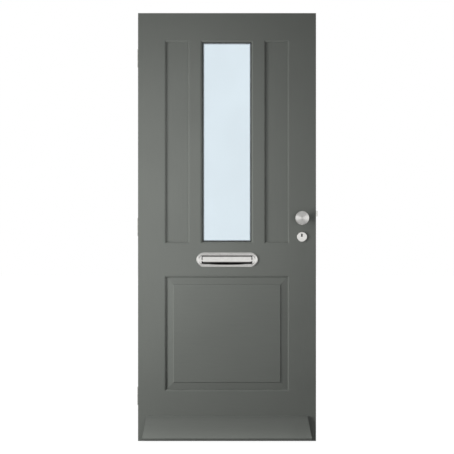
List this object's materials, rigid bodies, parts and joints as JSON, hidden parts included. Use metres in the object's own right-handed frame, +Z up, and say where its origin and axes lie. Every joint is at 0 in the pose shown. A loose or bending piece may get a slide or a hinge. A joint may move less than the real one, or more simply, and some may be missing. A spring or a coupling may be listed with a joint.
{
  "type": "panelled front door",
  "caption": "Painted panelled front door leaf with a tall glazed centre, letter plate, fixed knob, cylinder lock, weatherboard and butt hinges.",
  "frame": {"origin": "middle of the leaf's lower edge, half way through its thickness", "axes": "+Z up the leaf, +Y from outside to inside, +X from the hinge edge to the lock edge"},
  "size_m": [0.8945, 0.1615, 2.115],
  "materials": {
    "painted_timber": "satin grey paint",
    "glass": "clear, slightly blue",
    "satin_steel": "brushed",
    "zinc_plated_steel": "plated",
    "brass": "machined",
    "black_steel": "black oxide",
    "glazing_rubber": "matt",
    "black_plastic": "matt",
    "spacer": "matt white"
  },
  "bodies": {
    "jamb": {"top_hinge_jamb_leaf": "satin_steel", "middle_hinge_jamb_leaf": "satin_steel", "bottom_hinge_jamb_leaf": "satin_steel", "hinge_pins": "satin_steel"},
    "leaf": {"hinge_stile": "painted_timber", "lock_stile": "painted_timber", "top_rail": "painted_timber", "lock_rail": "painted_timber", "bottom_rail": "painted_timber", "left_muntin": "painted_timber", "right_muntin": "painted_timber", "left_panel": "painted_timber", "right_panel": "painted_timber", "bottom_panel": "painted_timber", "weatherboard": "painted_timber", "glazing_bead_top": "painted_timber", "glazing_bead_bottom": "painted_timber", "glazing_bead_left": "painted_timber", "glazing_bead_right": "painted_timber", "outer_pane": "glass", "inner_pane": "glass", "letter_plate": "satin_steel", "inner_letter_plate": "satin_steel", "knob": "satin_steel", "knob_rose": "satin_steel", "cylinder_rose": "satin_steel", "handle_rose": "satin_steel", "inner_cylinder_rose": "satin_steel", "lock_forend": "satin_steel", "letter_plate_bolts": "satin_steel", "rose_bolts": "satin_steel", "cylinder_screw": "satin_steel", "forend_screws": "satin_steel", "hinge_screws": "satin_steel", "top_hinge_door_leaf": "satin_steel", "middle_hinge_door_leaf": "satin_steel", "bottom_hinge_door_leaf": "satin_steel", "letter_flap_pin": "zinc_plated_steel", "inner_flap_pin": "zinc_plated_steel", "lock_case": "zinc_plated_steel", "lock_cover": "zinc_plated_steel", "latch_spring": "zinc_plated_steel", "cylinder_body": "black_steel", "outer_glazing_tape": "glazing_rubber", "inner_glazing_tape": "glazing_rubber", "setting_blocks": "glazing_rubber", "letter_sleeve": "black_plastic", "spacer_bar": "spacer"},
    "lever": {"lever_handle": "satin_steel", "spindle": "zinc_plated_steel", "lock_follower": "brass"},
    "latch": {"latch_bolt": "satin_steel"},
    "key_core": {"cylinder_plug": "black_steel", "cylinder_cam": "zinc_plated_steel", "keyhole_disc": "satin_steel", "thumb_turn": "satin_steel"},
    "deadbolt": {"deadbolt": "satin_steel"},
    "letter_flap": {"letter_flap": "satin_steel"},
    "inner_letter_flap": {"inner_letter_flap": "satin_steel"}
  },
  "joints": [
    {"name": "door_swing", "type": "hinge", "parent": "jamb", "child": "leaf", "pos_m": [-0.436, 0.0345, 1.0575], "axis": [0, 0, 1], "range_deg": [0, 110]},
    {"name": "lever_turn", "type": "hinge", "parent": "leaf", "child": "lever", "pos_m": [0.37, 0, 1.102], "axis": [0, -1, 0], "range_deg": [0, 40], "stiffness_Nm_per_rad": 1.2, "springref_deg": -28.65},
    {"name": "latch_slide", "type": "slide", "parent": "leaf", "child": "latch", "axis": [-1, 0, 0], "range_m": [0, 0.011], "deforming": ["latch_spring"]},
    {"name": "key_turn", "type": "hinge", "parent": "leaf", "child": "key_core", "pos_m": [0.37, 0, 1.017], "axis": [0, 1, 0], "range_deg": [0, 360]},
    {"name": "deadbolt_slide", "type": "slide", "parent": "leaf", "child": "deadbolt", "axis": [1, 0, 0], "range_m": [0, 0.02]},
    {"name": "outer_flap_lift", "type": "hinge", "parent": "leaf", "child": "letter_flap", "pos_m": [0, -0.0284, 0.9088], "axis": [-1, 0, 0], "range_deg": [0, 85]},
    {"name": "inner_flap_lift", "type": "hinge", "parent": "leaf", "child": "inner_letter_flap", "pos_m": [0, 0.0284, 0.9061], "axis": [1, 0, 0], "range_deg": [0, 85]}
  ],
  "couplings": [
    {"joint": "latch_slide", "follows": "lever_turn", "m_per_rad": 0.015},
    {"joint": "key_turn", "follows": "deadbolt_slide", "rad_per_m": 314.16}
  ]
}
